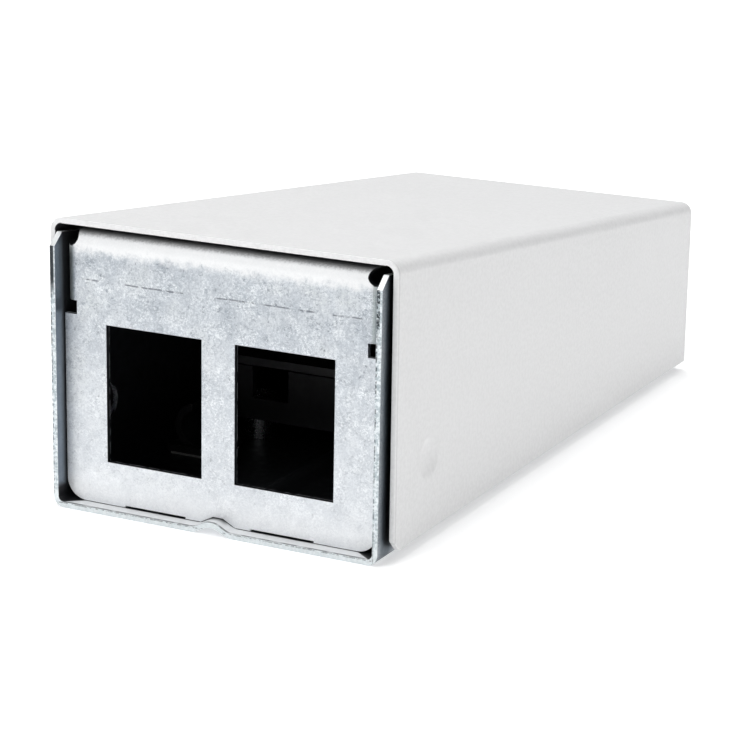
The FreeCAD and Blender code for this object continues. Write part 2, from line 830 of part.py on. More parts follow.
def make_splice_comb():
    """A soft holder with parallel grooves across the tray for the splice sleeves."""
    body = new_body("splice_comb")
    foot = dims.tray_floor_height + dims.tray_wall + dims.pad_thickness
    centre_y = dims.tray_centre_y + dims.comb_centre_y
    block = new_sketch(body, "comb_block", "XY_Plane", foot)
    rectangle(block, -dims.comb_width / 2, dims.comb_width / 2,
              centre_y - dims.comb_length / 2, centre_y + dims.comb_length / 2)
    pad(body, block, dims.comb_height)
    slot = new_sketch(body, "comb_slot", "YZ_Plane", -dims.comb_width)
    for step in COMB_SLOT_STEPS:
        middle = centre_y + dims.comb_pitch * step
        rectangle(slot, middle - dims.comb_slot / 2, middle + dims.comb_slot / 2,
                  foot + dims.comb_base, foot + dims.comb_height + dims.overcut)
    pocket(body, slot, dims.comb_width * 2, reverse=True)
    return body


def make_comb_pad():
    pad_box = doc.addObject("Part::Box", "comb_adhesive_pad")
    pad_box.Label = "comb_adhesive_pad"
    width, length = dims.comb_width - dims.pad_inset * 2, dims.comb_length - dims.pad_inset * 2
    bind(pad_box, "Length", width)
    bind(pad_box, "Width", length)
    bind(pad_box, "Height", dims.pad_thickness)
    place(pad_box, -width / 2, dims.tray_centre_y + dims.comb_centre_y - length / 2,
          dims.tray_floor_height + dims.tray_wall)
    return pad_box


# ---- cable clamp and strength member anchor ----

def make_cable_clamp():
    """A bridge over the cable: flat feet on the two standoffs and an arch between them."""
    body = new_body("cable_clamp")
    foot_z = dims.sheet + dims.clamp_standoff
    plate = dims.clamp_plate
    rise, reach, crest = dims.clamp_arch_rise, dims.clamp_arch_foot, dims.clamp_arch_crest
    profile = new_sketch(body, "clamp_profile", "XZ_Plane", -(dims.clamp_y + dims.clamp_length / 2))
    polygon(profile, mirrored([
        (-crest, foot_z + rise),
        (-reach, foot_z),
        (-dims.clamp_half_width, foot_z),
        (-dims.clamp_half_width, foot_z + plate),
        (-reach - dims.clamp_foot_growth, foot_z + plate),
        (-crest - dims.clamp_crest_growth, foot_z + rise + plate),
    ]))
    pad(body, profile, dims.clamp_length)
    dress(body, "Fillet", "feet_corners", dims.clamp_corner,
          straight_edges(body, ALONG_Z, x=both(dims.clamp_half_width)))
    holes = new_sketch(body, "clamp_holes", "XY_Plane", foot_z)
    for x, y in clamp_screw_points:
        circle(holes, x, y, dims.screw_hole_radius)
    pocket(body, holes, plate, reverse=True)
    return body


def make_anchor_post():
    """A post with a cross hole that takes the cable's strength member, clamped by a screw from above."""
    post = turned_part("anchor_post", [
        (0.0, 0.0),
        (dims.standoff_shank_radius, 0.0),
        (dims.standoff_shank_radius, dims.sheet),
        (dims.anchor_radius, dims.sheet),
        (dims.anchor_radius, dims.sheet + dims.anchor_height),
        (dims.standoff_bore, dims.sheet + dims.anchor_height),
        (dims.standoff_bore, dims.sheet + dims.anchor_hole_height),
        (0.0, dims.sheet + dims.anchor_hole_height),
    ])
    cross = new_sketch(post, "anchor_cross_hole", "XZ_Plane", -dims.anchor_radius * 2)
    circle(cross, 0.0, dims.sheet + dims.anchor_hole_height, dims.anchor_hole_radius)
    pocket(post, cross, dims.anchor_radius * 4, reverse=True)
    place(post, dims.anchor_x, dims.anchor_y)
    return post


# ---- earth point ----

def make_earth_stud():
    """A self-clinching stud: flush in the floor, with a low collar inside."""
    stud = turned_part("earth_stud", [
        (0.0, 0.0),
        (dims.stud_radius, 0.0),
        (dims.stud_radius, dims.sheet),
        (dims.stud_head_radius, dims.sheet),
        (dims.stud_head_radius, dims.sheet + dims.stud_head),
        (dims.stud_radius, dims.sheet + dims.stud_head),
        (dims.stud_radius, dims.stud_length - dims.stud_tip),
        (dims.stud_radius - dims.stud_tip, dims.stud_length),
        (0.0, dims.stud_length),
    ])
    place(stud, dims.earth_x, dims.earth_y)
    return stud


def make_earth_washer():
    washer = turned_part("earth_washer", [
        (dims.washer_bore, 0.0),
        (dims.washer_radius, 0.0),
        (dims.washer_radius, dims.washer_thickness),
        (dims.washer_bore, dims.washer_thickness),
    ])
    place(washer, dims.earth_x, dims.earth_y, dims.sheet + dims.stud_head)
    return washer


def make_earth_nut():
    body = new_body("earth_nut")
    section = new_sketch(body, "nut_section", "XY_Plane")
    apothem = dims.nut_flats / 2
    corner = apothem * HEX_CORNER
    polygon(section, [
        (corner, 0.0), (corner / 2, apothem), (-corner / 2, apothem),
        (-corner, 0.0), (-corner / 2, -apothem), (corner / 2, -apothem),
    ])
    circle(section, 0.0, 0.0, dims.nut_bore)
    pad(body, section, dims.nut_height)
    place(body, dims.earth_x, dims.earth_y, dims.sheet + dims.stud_head + dims.washer_thickness)
    return body


# ---- fibre clips ----

def make_fibre_clip(label, x, y):
    """An open ring on a square foot; the slit lets fibre in from above."""
    body = new_body(label)
    half = dims.clip_pad / 2
    foot = new_sketch(body, f"{label}_foot", "XY_Plane", dims.sheet + dims.adhesive)
    rectangle(foot, -half, half, -half, half)
    pad(body, foot, dims.clip_base)
    ring_z = dims.sheet + dims.adhesive + dims.clip_base + dims.clip_inner_radius
    ring = new_sketch(body, f"{label}_ring", "XZ_Plane", -dims.clip_length / 2)
    circle(ring, 0.0, ring_z, dims.clip_outer_radius)
    circle(ring, 0.0, ring_z, dims.clip_inner_radius)
    pad(body, ring, dims.clip_length)
    slit = new_sketch(body, f"{label}_slit", "XY_Plane", ring_z)
    rectangle(slit, -dims.clip_slit / 2, dims.clip_slit / 2, -dims.clip_length, dims.clip_length)
    pocket(body, slit, dims.clip_outer_radius * 2, reverse=True)
    place(body, x, y)
    return body


def make_clip_pad(label, x, y):
    pad_box = doc.addObject("Part::Box", label)
    side = dims.clip_pad - dims.adhesive_inset * 2
    bind(pad_box, "Length", side)
    bind(pad_box, "Width", side)
    bind(pad_box, "Height", dims.adhesive)
    place(pad_box, x - side / 2, y - side / 2, dims.sheet)
    return pad_box


# ---- the box ----

def numbered(label, points, make, *sizes):
    """One piece at each point, gathered in one node."""
    members = [make(f"{label}_{i}", x, y, *sizes) for i, (x, y) in enumerate(points, start=1)]
    return group(label, members)


tray_seat_z = dims.tray_floor_height + dims.tray_wall
clamp_seat_z = dims.sheet + dims.clamp_standoff + dims.clamp_plate
anchor_seat_z = dims.sheet + dims.anchor_height

nodes = [
    make_base_channel(),
    make_folded_panel("front_panel", panel_y, 1.0, cut_module_ports),
    make_folded_panel("rear_panel", rear_panel_y, -1.0, cut_cable_entry),
    make_cover(),
    make_rivets("front_rivets", *rivet_places[0]),
    make_rivets("rear_rivets", *rivet_places[1]),
    make_cable_grommet(),
    numbered("tray_standoffs", tray_screw_points, make_standoff, dims.tray_floor_height - dims.sheet),
    make_splice_tray(),
    numbered("tray_screws", tray_screw_points, make_screw, tray_seat_z, dims.tray_screw_length),
    make_tray_lid(),
    make_hinge_pin(),
    make_splice_comb(),
    make_comb_pad(),
    numbered("clamp_standoffs", clamp_screw_points, make_standoff, dims.clamp_standoff),
    make_cable_clamp(),
    numbered("clamp_screws", clamp_screw_points, make_screw, clamp_seat_z, dims.clamp_screw_length),
    make_anchor_post(),
    make_screw("anchor_screw", dims.anchor_x, dims.anchor_y, anchor_seat_z, dims.anchor_screw_length),
    make_earth_stud(),
    make_earth_washer(),
    make_earth_nut(),
    numbered("fibre_clips", clip_points, make_fibre_clip),
    numbered("clip_adhesive_pads", clip_points, make_clip_pad),
]

doc.recompute()
failed = [item.Label for item in doc.Objects if {"Invalid", "Error"} & set(item.State)]
if failed:
    raise RuntimeError(f"not computed: {failed}")
for node in nodes:
    if node.Shape.isNull() or not node.Shape.isValid():
        raise RuntimeError(f"{node.Label}: shape is null or not valid")

os.makedirs("parts", exist_ok=True)
for node in nodes:
    node.Shape.exportStep(f"parts/{node.Label}.step")
    box = node.Shape.BoundBox
    print(f"{node.Label}: {len(node.Shape.Solids)} solids, {node.Shape.Volume:.1f} mm3, "
          f"x {box.XMin:.2f}..{box.XMax:.2f}, y {box.YMin:.2f}..{box.YMax:.2f}, "
          f"z {box.ZMin:.2f}..{box.ZMax:.2f}")
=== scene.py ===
import json
import math

import bmesh
import bpy
from mathutils import Matrix, Vector


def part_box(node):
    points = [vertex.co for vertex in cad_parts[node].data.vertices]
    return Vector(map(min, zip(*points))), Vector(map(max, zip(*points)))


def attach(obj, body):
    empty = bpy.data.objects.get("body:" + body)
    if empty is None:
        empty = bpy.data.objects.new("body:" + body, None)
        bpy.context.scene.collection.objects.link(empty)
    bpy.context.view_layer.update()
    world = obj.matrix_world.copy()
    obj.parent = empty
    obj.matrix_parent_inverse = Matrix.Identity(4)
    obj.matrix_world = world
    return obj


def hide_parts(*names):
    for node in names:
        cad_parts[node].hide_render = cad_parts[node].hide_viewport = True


# Looks of the fiber termination box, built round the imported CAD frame.  The scene is in metres; the
# origin is the centre of the footprint, +Z is up, the module openings face -Y.  Materials, marks and
# roundings are given in millimetres.

MM = 0.001

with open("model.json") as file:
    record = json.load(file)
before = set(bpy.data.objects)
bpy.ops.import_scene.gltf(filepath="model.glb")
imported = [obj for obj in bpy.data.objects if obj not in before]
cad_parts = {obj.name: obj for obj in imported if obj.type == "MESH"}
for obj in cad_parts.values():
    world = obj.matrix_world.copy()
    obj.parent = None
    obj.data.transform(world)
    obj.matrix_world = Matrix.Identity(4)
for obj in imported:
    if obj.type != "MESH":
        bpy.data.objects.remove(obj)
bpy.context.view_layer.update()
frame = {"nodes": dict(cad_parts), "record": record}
nodes = frame["nodes"]


# ---- places on the box, in millimetres ----

def box_mm(node):
    """A node's lowest and highest corners at rest."""
    return [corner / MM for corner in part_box(node)]


def mount_mm(name):
    """The place of one of the record's mounts."""
    mounts = {mount["name"]: mount for mount in frame["record"]["mounts"]}
    return Vector(mounts[name]["pos_m"]) / MM


SHEET = 0.8
PORT_WIDTH = 14.8
PORT_HEIGHT = 19.2

channel_low, channel_high = box_mm("base_channel")
panel_low, panel_high = box_mm("front_panel")
rear_high = box_mm("rear_panel")[1]
cover_low = box_mm("cover")[0]
port_centre = mount_mm("module_port_right")

FLOOR_TOP = channel_low.z + SHEET
WALL_INNER = channel_high.x - SHEET
PANEL_DEPTH = panel_low.y - channel_low.y
PORTS_OUTER = port_centre.x + PORT_WIDTH / 2
PORTS_TOP = port_centre.z + PORT_HEIGHT / 2
PORTS_SILL = port_centre.z - PORT_HEIGHT / 2


# ---- camera, light and floor ----

CAMERA_AZIMUTH = math.radians(26.53)
CAMERA_ELEVATION = math.radians(15.47)
CAMERA_ROLL = math.radians(1.11)
CAMERA_DISTANCE = 306.0 * MM
CAMERA_LENS = 117.1
CAMERA_NEAR = 10.0 * MM
AIM_RIGHT = 22.46 * MM
AIM_HEIGHT = 25.3 * MM

# name, place, aim, size and watts of each area light
AREA_LIGHTS = (
    ("front_light", (-0.30, -0.72, 0.78), (0.0, -0.05, 0.03), (0.6, 0.7), 4.6),
    ("side_light", (0.75, -0.15, 0.75), (0.0, 0.0, 0.02), (0.6, 0.6), 0.9),
    ("top_light", (-0.12, 0.12, 0.8), (0.0, 0.0, 0.02), (0.45, 0.7), 4.6),
)
WORLD_COLOUR = (0.97, 0.98, 1.0, 1.0)
WORLD_STRENGTH = 0.26

FLOOR_HALF_SIZE = 12.0
FLOOR_GAP = 0.02 * MM
# the floor's glow rises between two distances from the middle, in millimetres, from the first
# strength to the second
FLOOR_GLOW = (300.0, 1100.0, 0.42, 0.78)


def add_camera():
    """A camera at the right of the front face, aimed at a point in the plane of that face."""
    target = Vector((AIM_RIGHT, panel_low.y * MM, AIM_HEIGHT))
    cos_e = math.cos(CAMERA_ELEVATION)
    back = Vector((
        math.sin(CAMERA_AZIMUTH) * cos_e,
        -math.cos(CAMERA_AZIMUTH) * cos_e,
        math.sin(CAMERA_ELEVATION),
    ))
    level_right = Vector((math.cos(CAMERA_AZIMUTH), math.sin(CAMERA_AZIMUTH), 0.0))
    level_up = back.cross(level_right)
    right = level_right * math.cos(CAMERA_ROLL) + level_up * math.sin(CAMERA_ROLL)
    up = back.cross(right)
    data = bpy.data.cameras.new("camera")
    data.lens = CAMERA_LENS
    data.clip_start = CAMERA_NEAR
    camera = bpy.data.objects.new("camera", data)
    bpy.context.scene.collection.objects.link(camera)
    turn = Matrix((right, up, back)).transposed().to_4x4()
    camera.matrix_world = Matrix.Translation(target + back * CAMERA_DISTANCE) @ turn
    bpy.context.scene.camera = camera


def add_area_light(name, place, aim, size, power):
    data = bpy.data.lights.new(name, "AREA")
    data.shape = "RECTANGLE"
    data.size, data.size_y = size
    data.energy = power
    light = bpy.data.objects.new(name, data)
    bpy.context.scene.collection.objects.link(light)
    direction = Vector(aim) - Vector(place)
    light.rotation_euler = direction.to_track_quat("-Z", "Y").to_euler()
    light.location = place


def add_world():
    world = bpy.data.worlds.new("studio")
    bpy.context.scene.world = world
    world.use_nodes = True
    background = world.node_tree.nodes["Background"]
    background.inputs["Color"].default_value = WORLD_COLOUR
    background.inputs["Strength"].default_value = WORLD_STRENGTH


def add_floor():
    """Studio paper that glows a little, and more with distance, so that it stays white."""
    bm = bmesh.new()
    bmesh.ops.create_grid(bm, x_segments=8, y_segments=8, size=FLOOR_HALF_SIZE)
    mesh = bpy.data.meshes.new("studio_floor")
    bm.to_mesh(mesh)
    bm.free()
    floor = bpy.data.objects.new("studio_floor", mesh)
    bpy.context.scene.collection.objects.link(floor)
    floor.location.z = -FLOOR_GAP
    paint = Paint("studio_paper")
    paper = paint.noise(0.02, 3.0)
    paint.colour(paint.between(paper, (0.86, 0.86, 0.86), (0.88, 0.88, 0.88)))
    paint.value("Roughness", 0.9)
    paint.value("Emission Color", (1.0, 1.0, 1.0, 1.0))
    distance = paint.largest(paint.absolute(paint.axis("X")), paint.absolute(paint.axis("Y")))
    paint.drive("Emission Strength", paint.ramp(distance, *FLOOR_GLOW))
    mesh.materials.append(paint.material)


# ---- painting with nodes ----

class Paint:
    """A node material round one Principled shader.

    Places on the surface are in millimetres, and a texture's size is a number of features per
    millimetre.
    """

    def __init__(self, name):
        self.material = bpy.data.materials.new(name)
        self.material.use_nodes = True
        self.tree = self.material.node_tree
        self.shader = self.tree.nodes["Principled BSDF"]
        self.place = self.tree.nodes.new("ShaderNodeTexCoord")
        self.bumps = None

    def link(self, source, target):
        self.tree.links.new(source, target)

    def value(self, socket, value):
        self.shader.inputs[socket].default_value = value

    def drive(self, socket, source):
        self.link(source, self.shader.inputs[socket])

    def colour(self, source):
        self.drive("Base Color", source)

    def noise(self, per_mm, detail=2.0, roughness=0.5, stretch=(1.0, 1.0, 1.0), distortion=0.0):
        mapping = self.tree.nodes.new("ShaderNodeMapping")
        mapping.inputs["Scale"].default_value = [per_mm * part / MM for part in stretch]
        self.link(self.place.outputs["Object"], mapping.inputs["Vector"])
        texture = self.tree.nodes.new("ShaderNodeTexNoise")
        texture.inputs["Scale"].default_value = 1.0
        texture.inputs["Detail"].default_value = detail
        texture.inputs["Roughness"].default_value = roughness
        texture.inputs["Distortion"].default_value = distortion
        self.link(mapping.outputs["Vector"], texture.inputs["Vector"])
        return texture.outputs["Fac"]

    def wobble(self, amount, *noise_settings):
        """A noise centred on 0, to roughen a place by about half the amount either way."""
        return self.times(self.minus(self.noise(*noise_settings), 0.5), amount)

    def part(self, vector, name):
        split = self.tree.nodes.new("ShaderNodeSeparateXYZ")
        self.link(self.place.outputs[vector], split.inputs["Vector"])
        return split.outputs[name]

    def axis(self, name):
        """One coordinate of the surface point, in millimetres."""
        return self.math("DIVIDE", self.part("Object", name), MM)

    def facing(self, name):
        """One component of the surface's normal."""
        return self.part("Normal", name)

    def math(self, operation, *operands):
        node = self.tree.nodes.new("ShaderNodeMath")
        node.operation = operation
        for socket, operand in zip(node.inputs, operands):
            if isinstance(operand, (int, float)):
                socket.default_value = operand
            else:
                self.link(operand, socket)
        return node.outputs["Value"]

    def absolute(self, operand):
        return self.math("ABSOLUTE", operand)

    def plus(self, first, second):
        return self.math("ADD", first, second)

    def minus(self, first, second):
        return self.math("SUBTRACT", first, second)

    def times(self, product, *factors):
        for factor in factors:
            product = self.math("MULTIPLY", product, factor)
        return product

    def largest(self, greatest, *others):
        for other in others:
            greatest = self.math("MAXIMUM", greatest, other)
        return greatest

    def ramp(self, source, low, high, start=0.0, end=1.0):
        """source from low to high becomes start to end, held level outside."""
        node = self.tree.nodes.new("ShaderNodeMapRange")
        node.interpolation_type = "SMOOTHSTEP"
        for name, value in (("From Min", low), ("From Max", high), ("To Min", start), ("To Max", end)):
            node.inputs[name].default_value = value
        self.link(source, node.inputs["Value"])
        return node.outputs["Result"]

    def band(self, source, low, high, soft):
        """1 between low and high, falling to 0 over soft on either side."""
        return self.times(self.ramp(source, low - soft, low), self.ramp(source, high + soft, high))

    def choose(self, factor, first, second):
        """first where the factor is 0 and second where it is 1."""
        return self.plus(self.times(factor, second), self.times(self.minus(1.0, factor), first))

    def between(self, factor, first, second):
        """A colour mixed from two colours or colour sockets."""
        node = self.tree.nodes.new("ShaderNodeMix")
        node.data_type = "RGBA"
        self.link(factor, node.inputs["Factor"])
        colour_sockets = [socket for socket in node.inputs if socket.type == "RGBA"]
        for socket, colour in zip(colour_sockets, (first, second)):
            if isinstance(colour, tuple):
                socket.default_value = (*colour, 1.0)
            else:
                self.link(colour, socket)
        return [socket for socket in node.outputs if socket.type == "RGBA"][0]

    def mottle(self, noise, first, second):
        """Two colours in patches that follow a noise."""
        return self.between(self.ramp(noise, 0.35, 0.65), first, second)

    def uneven_roughness(self, noise, low, high):
        self.drive("Roughness", self.ramp(noise, 0.3, 0.7, low, high))

    def bump(self, height, depth, strength):
        """Relief of the given depth, added to the relief that is there already."""
        node = self.tree.nodes.new("ShaderNodeBump")
        node.inputs["Strength"].default_value = strength
        node.inputs["Distance"].default_value = depth * MM
        self.link(height, node.inputs["Height"])
        if self.bumps is not None:
            self.link(self.bumps, node.inputs["Normal"])
        self.bumps = node.outputs["Normal"]
        self.drive("Normal", self.bumps)


# ---- the cover ----

# near-black painted shade, laid on inner faces, cut faces, gaps and openings where shade falls
SHADE_BLACK = (0.012, 0.013, 0.015)
# painted shade line along the arris just behind the front edge: from, to and softness
ARRIS_SHADE_LINE = (0.18, 0.42, 0.08)


def powder_coat():
    """White paint with a fine grain, and a painted shade line just behind the cover's front edge."""
    paint = Paint("white_powder_coat")
    clean = paint.between(paint.noise(0.035, 2.0), (0.765, 0.765, 0.765), (0.80, 0.80, 0.80))
    clean = paint.mottle(paint.noise(1.8, 3.0, 0.6), clean, (0.83, 0.83, 0.83))
    # painted shade: a thin grey line just behind the front edge
    arris_shade = paint.band(paint.minus(paint.axis("Y"), cover_low.y), *ARRIS_SHADE_LINE)
    paint.colour(paint.between(paint.times(arris_shade, 0.3), clean, (0.45, 0.45, 0.45)))
    paint.uneven_roughness(paint.noise(0.5, 3.0), 0.36, 0.48)
    paint.value("Specular IOR Level", 0.45)
    paint.bump(paint.noise(0.9, 2.0, 0.45), 0.035, 0.6)
    paint.bump(paint.noise(3.2, 2.0, 0.5), 0.01, 0.6)
    return paint.material


def cover_inside_shade():
    """Near-black painted shade on the cover's inner faces."""
    paint = Paint("cover_inside_shade")
    paint.colour(paint.mottle(paint.noise(0.4, 4.0), SHADE_BLACK, (0.035, 0.036, 0.038)))
    paint.uneven_roughness(paint.noise(1.0, 3.0), 0.5, 0.65)
    paint.bump(paint.noise(1.5, 2.0), 0.02, 0.5)
    return paint.material


# ---- galvanised sheet ----

GALVANISED_METALLIC = 0.82


def spangle(paint):
    """Zinc coating: a fine mottle, greenish blooms, bright flecks, dark crackle, strokes and specks."""
    blotch = paint.noise(0.3, 4.0, 0.6, distortion=0.5)
    base = paint.between(paint.ramp(blotch, 0.35, 0.68), (0.57, 0.605, 0.64), (0.79, 0.82, 0.84))
    bloom = paint.noise(0.16, 3.0, 0.55)
    base = paint.between(paint.ramp(bloom, 0.50, 0.68, 0.0, 0.5), base, (0.60, 0.635, 0.625))
    grain = paint.noise(3.4, 3.0, 0.7)
    base = paint.between(paint.ramp(grain, 0.42, 0.60, 0.0, 0.8), base, (0.40, 0.43, 0.47))
    worm = paint.band(paint.noise(1.3, 4.0, 0.6, distortion=2.2), 0.50, 0.53, 0.035)
    worm_grey = paint.between(paint.ramp(bloom, 0.4, 0.6), (0.42, 0.46, 0.50), (0.60, 0.63, 0.66))
    base = paint.between(worm, base, worm_grey)
    fleck = paint.noise(2.0, 2.0, 0.5, distortion=0.8)
    base = paint.between(paint.ramp(fleck, 0.58, 0.72, 0.0, 0.4), base, (0.90, 0.92, 0.93))
    crackle = paint.noise(2.3, 4.0, 0.7, distortion=1.5)
    base = paint.between(paint.ramp(crackle, 0.56, 0.64, 0.0, 0.6), base, (0.30, 0.33, 0.37))
    stroke = paint.band(paint.noise(0.75, 2.0, 0.45, (1.0, 1.0, 1.6), 1.4), 0.49, 0.515, 0.025)
    patches = paint.noise(0.55, 2.0, 0.5, (1.3, 1.3, 1.0))
    stroke = paint.times(stroke, paint.ramp(patches, 0.51, 0.59, 0.0, 0.6))
    base = paint.between(stroke, base, (0.24, 0.27, 0.31))
    speck = paint.noise(1.6, 5.0, 0.65)
    return paint.between(paint.ramp(speck, 0.63, 0.70, 0.0, 0.75), base, (0.17, 0.19, 0.22))


def galvanised(name, marks=None):
    """Galvanised sheet.

    marks adds a part's own marks and its painted light and shade, and says where the near-black painted
    shade is and where the zinc is matt.
    """
    paint = Paint(name)
    base = spangle(paint)
    if marks is None:
        paint.value("Metallic", GALVANISED_METALLIC)
    else:
        base, painted_shade, matt = marks(paint, base)
        # near-black painted shade where the marks put it
        base = paint.between(painted_shade, base, SHADE_BLACK)
        dull = paint.largest(painted_shade, matt)
        paint.drive("Metallic", paint.ramp(dull, 0.0, 1.0, GALVANISED_METALLIC, 0.0))
    paint.colour(base)
    paint.uneven_roughness(paint.noise(0.8, 4.0, 0.6), 0.34, 0.52)
    paint.bump(paint.noise(0.45, 3.0, 0.5), 0.03, 0.4)
    paint.bump(paint.noise(2.4, 3.0, 0.6), 0.012, 0.5)
    return paint.material


# ---- marks on the channel: depths in from its open ends, heights and widths ----
#
# Two values say where a mark starts and where it is full; two more are its least and greatest
# strength, if they aren't 0 and 1.  Three values are a band: from, to and softness.

# dark grey painted shade on the walls' outer faces near their ends, and black painted shade where the
# cover's edge sits
OUTER_WALL_SHADE = (0.10, 0.125, 0.15)
# from the walls' inner faces to their outsides
WALL_SKIN = (WALL_INNER + 0.3, WALL_INNER + 0.5)
OUTER_SHADE_DEPTH = (6.0, 3.0)
OUTER_SHADE_EDGE = (0.1, 1.5, 0.6, 1.0)
COVER_EDGE_SHADE_DEPTH = (2.7, 4.0, 1.7)
COVER_EDGE_SHADE_HEIGHT = (1.2, 3.2)

WALL_FOOT = (FLOOR_TOP + 0.3, FLOOR_TOP + 0.9)
# depths, heights and corners of the near-black painted shade inside the channel
INNER_WALL_SHADE_DEPTH = (0.7, 2.2)
FLOOR_SHADE_DEPTH = (PANEL_DEPTH - 0.05, PANEL_DEPTH + 0.1)
ABOVE_UNDERSIDE = (0.3, 0.5)
CORNER_START = panel_high.x - 2.8
CORNER_SLOPE = 0.77
CORNER_DEPTH = (PANEL_DEPTH - 0.1, PANEL_DEPTH + 0.15)
CORNER_HEIGHT = (FLOOR_TOP + 3.0, FLOOR_TOP + 1.8)

STRIP_DEPTH = (PANEL_DEPTH + 0.1, PANEL_DEPTH - 0.1)
STRIP_HEIGHT = (3.0, 2.2)
BURR_DEPTH = (0.42, 0.30)

END_FOOT = (4.0, 1.5)
WALL_START = (WALL_INNER - 0.02, WALL_INNER + 0.02)
FRACTURE = (0.05, 0.18, 0.06)
FRACTURE_HEIGHT = (8.0, 30.0, 0.55, 0.9)
TORN = (0.04, 0.42, 0.10)
TORN_SOLID = (0.66, 0.50)
TORN_HEIGHT = (29.0, 32.0)
WALL_TOP_HEIGHT = (20.0, 22.0)


def wall_outsides(paint, base, outside, depth_in, z):
    """Painted shade on the walls' outsides: dark grey at the walls' ends, and black where the cover's
    edge sits.
    """
    # painted shade: the outer wall ends are darkened to grey
    dull = paint.times(outside, paint.ramp(depth_in, *OUTER_SHADE_DEPTH), paint.ramp(depth_in, *OUTER_SHADE_EDGE))
    base = paint.between(paint.times(dull, 0.93), base, OUTER_WALL_SHADE)
    # painted shade: black along the outer walls where the cover's edge sits
    cover_edge_shade = paint.times(paint.band(depth_in, *COVER_EDGE_SHADE_DEPTH), paint.ramp(z, *COVER_EDGE_SHADE_HEIGHT))
    return paint.between(paint.times(cover_edge_shade, outside), base, SHADE_BLACK)


def channel_painted_shade(paint, inside, wall, depth_in, span_x, z):
    """Near-black painted shade inside the channel, which thins out towards the open ends."""
    on_walls = paint.times(wall, paint.ramp(depth_in, *INNER_WALL_SHADE_DEPTH))
    on_floor = paint.times(
        inside,
        paint.ramp(depth_in, *FLOOR_SHADE_DEPTH),
        paint.ramp(z, *ABOVE_UNDERSIDE),
        paint.ramp(paint.facing("Z"), -0.25, -0.1),
    )
    past_start = paint.times(CORNER_SLOPE, paint.minus(span_x, CORNER_START))
    in_corners = paint.times(
        paint.ramp(paint.plus(depth_in, past_start), *CORNER_DEPTH),
        inside,
        paint.ramp(z, *CORNER_HEIGHT),
        paint.ramp(z, *ABOVE_UNDERSIDE),
    )
    return paint.largest(on_walls, on_floor, in_corners)


def front_strip(paint, base, depth_in, z):
    """The floor's strip ahead of the panel, whitened as painted light, with a dark burr along its edge.
    """
    strip = paint.times(
        paint.ramp(depth_in, *STRIP_DEPTH),
        paint.ramp(z, *STRIP_HEIGHT),
        paint.ramp(paint.facing("Z"), 0.5, 0.8),
    )
    # painted light: the strip's colour is lifted to near white
    base = paint.between(paint.times(strip, 0.9), base, (0.93, 0.94, 0.95))
    broken = paint.ramp(paint.noise(0.7, 3.0), 0.40, 0.52, 0.35, 0.85)
    burr = paint.times(strip, paint.ramp(depth_in, *BURR_DEPTH), broken)
    return paint.between(burr, base, (0.12, 0.13, 0.14)), strip


def sheared_ends(paint, base, end, x, span_x, z):
    """Burnished ends with a broken dark fracture line, which widens towards the wall tops."""
    streaks = paint.ramp(paint.noise(2.6, 3.0, 0.6), 0.38, 0.62)
    bright = paint.between(streaks, (0.42, 0.48, 0.51), (0.74, 0.78, 0.80))
    low_edge = paint.times(paint.ramp(z, *END_FOOT), 0.75)
    bright = paint.between(low_edge, bright, (0.76, 0.80, 0.81))
    base = paint.between(end, base, bright)

    # the line follows the inner edge of the right wall, the outer edge of the left one and the
    # upper edge of the floor
    from_inner = paint.minus(span_x, WALL_INNER)
    from_outer = paint.minus(SHEET, from_inner)
    right_side = paint.ramp(x, -1.0, 1.0)
    across_wall = paint.choose(right_side, from_outer, from_inner)
    across_floor = paint.minus(FLOOR_TOP, z)
    across = paint.choose(paint.ramp(span_x, *WALL_START), across_floor, across_wall)
    dots = paint.ramp(paint.noise(1.7, 4.0, 0.7), 0.44, 0.56)
    line = paint.times(paint.band(across, *FRACTURE), dots, paint.ramp(z, *FRACTURE_HEIGHT))
    torn = paint.times(
        paint.band(across, *TORN),
        paint.ramp(paint.noise(2.4, 4.0, 0.75), 0.42, 0.56),
    )
    solid = paint.times(paint.minus(1.0, right_side), paint.ramp(across, *TORN_SOLID))
    torn = paint.times(paint.largest(torn, solid), paint.ramp(z, *TORN_HEIGHT))
    fracture = paint.times(paint.largest(line, torn), end, 0.96)
    return paint.between(fracture, base, (0.02, 0.025, 0.03))


def channel_marks(paint, base):
    """Painted shade on the wall outsides and inner walls, near-black painted shade from the panels
    inward, sheared ends and cut wall tops.
    """
    x, y, z = (paint.axis(name) for name in "XYZ")
    span_x = paint.absolute(x)
    depth_in = paint.minus(channel_high.y, paint.absolute(y))
    outside = paint.ramp(span_x, *WALL_SKIN)
    base = wall_outsides(paint, base, outside, depth_in, z)

    inside = paint.minus(1.0, outside)
    wall = paint.times(inside, paint.ramp(z, *WALL_FOOT))
    # painted shade: the inner walls are darkened to blue-grey
    base = paint.between(paint.times(wall, 0.85), base, (0.20, 0.245, 0.30))
    painted_shade = channel_painted_shade(paint, inside, wall, depth_in, span_x, z)
    base, strip = front_strip(paint, base, depth_in, z)
    matt = paint.times(strip, 0.85)

    end = paint.ramp(paint.absolute(paint.facing("Y")), 0.75, 0.9)
    base = sheared_ends(paint, base, end, x, span_x, z)
    painted_shade = paint.times(painted_shade, paint.minus(1.0, end))

    top_cut = paint.times(paint.ramp(paint.facing("Z"), 0.4, 0.6), paint.ramp(z, *WALL_TOP_HEIGHT))
    base = paint.between(paint.times(top_cut, 0.9), base, (0.90, 0.92, 0.92))
    painted_shade = paint.times(painted_shade, paint.minus(1.0, top_cut))
    return base, painted_shade, matt


# ---- marks on the panels, in the same form: depths are behind a panel's face ----

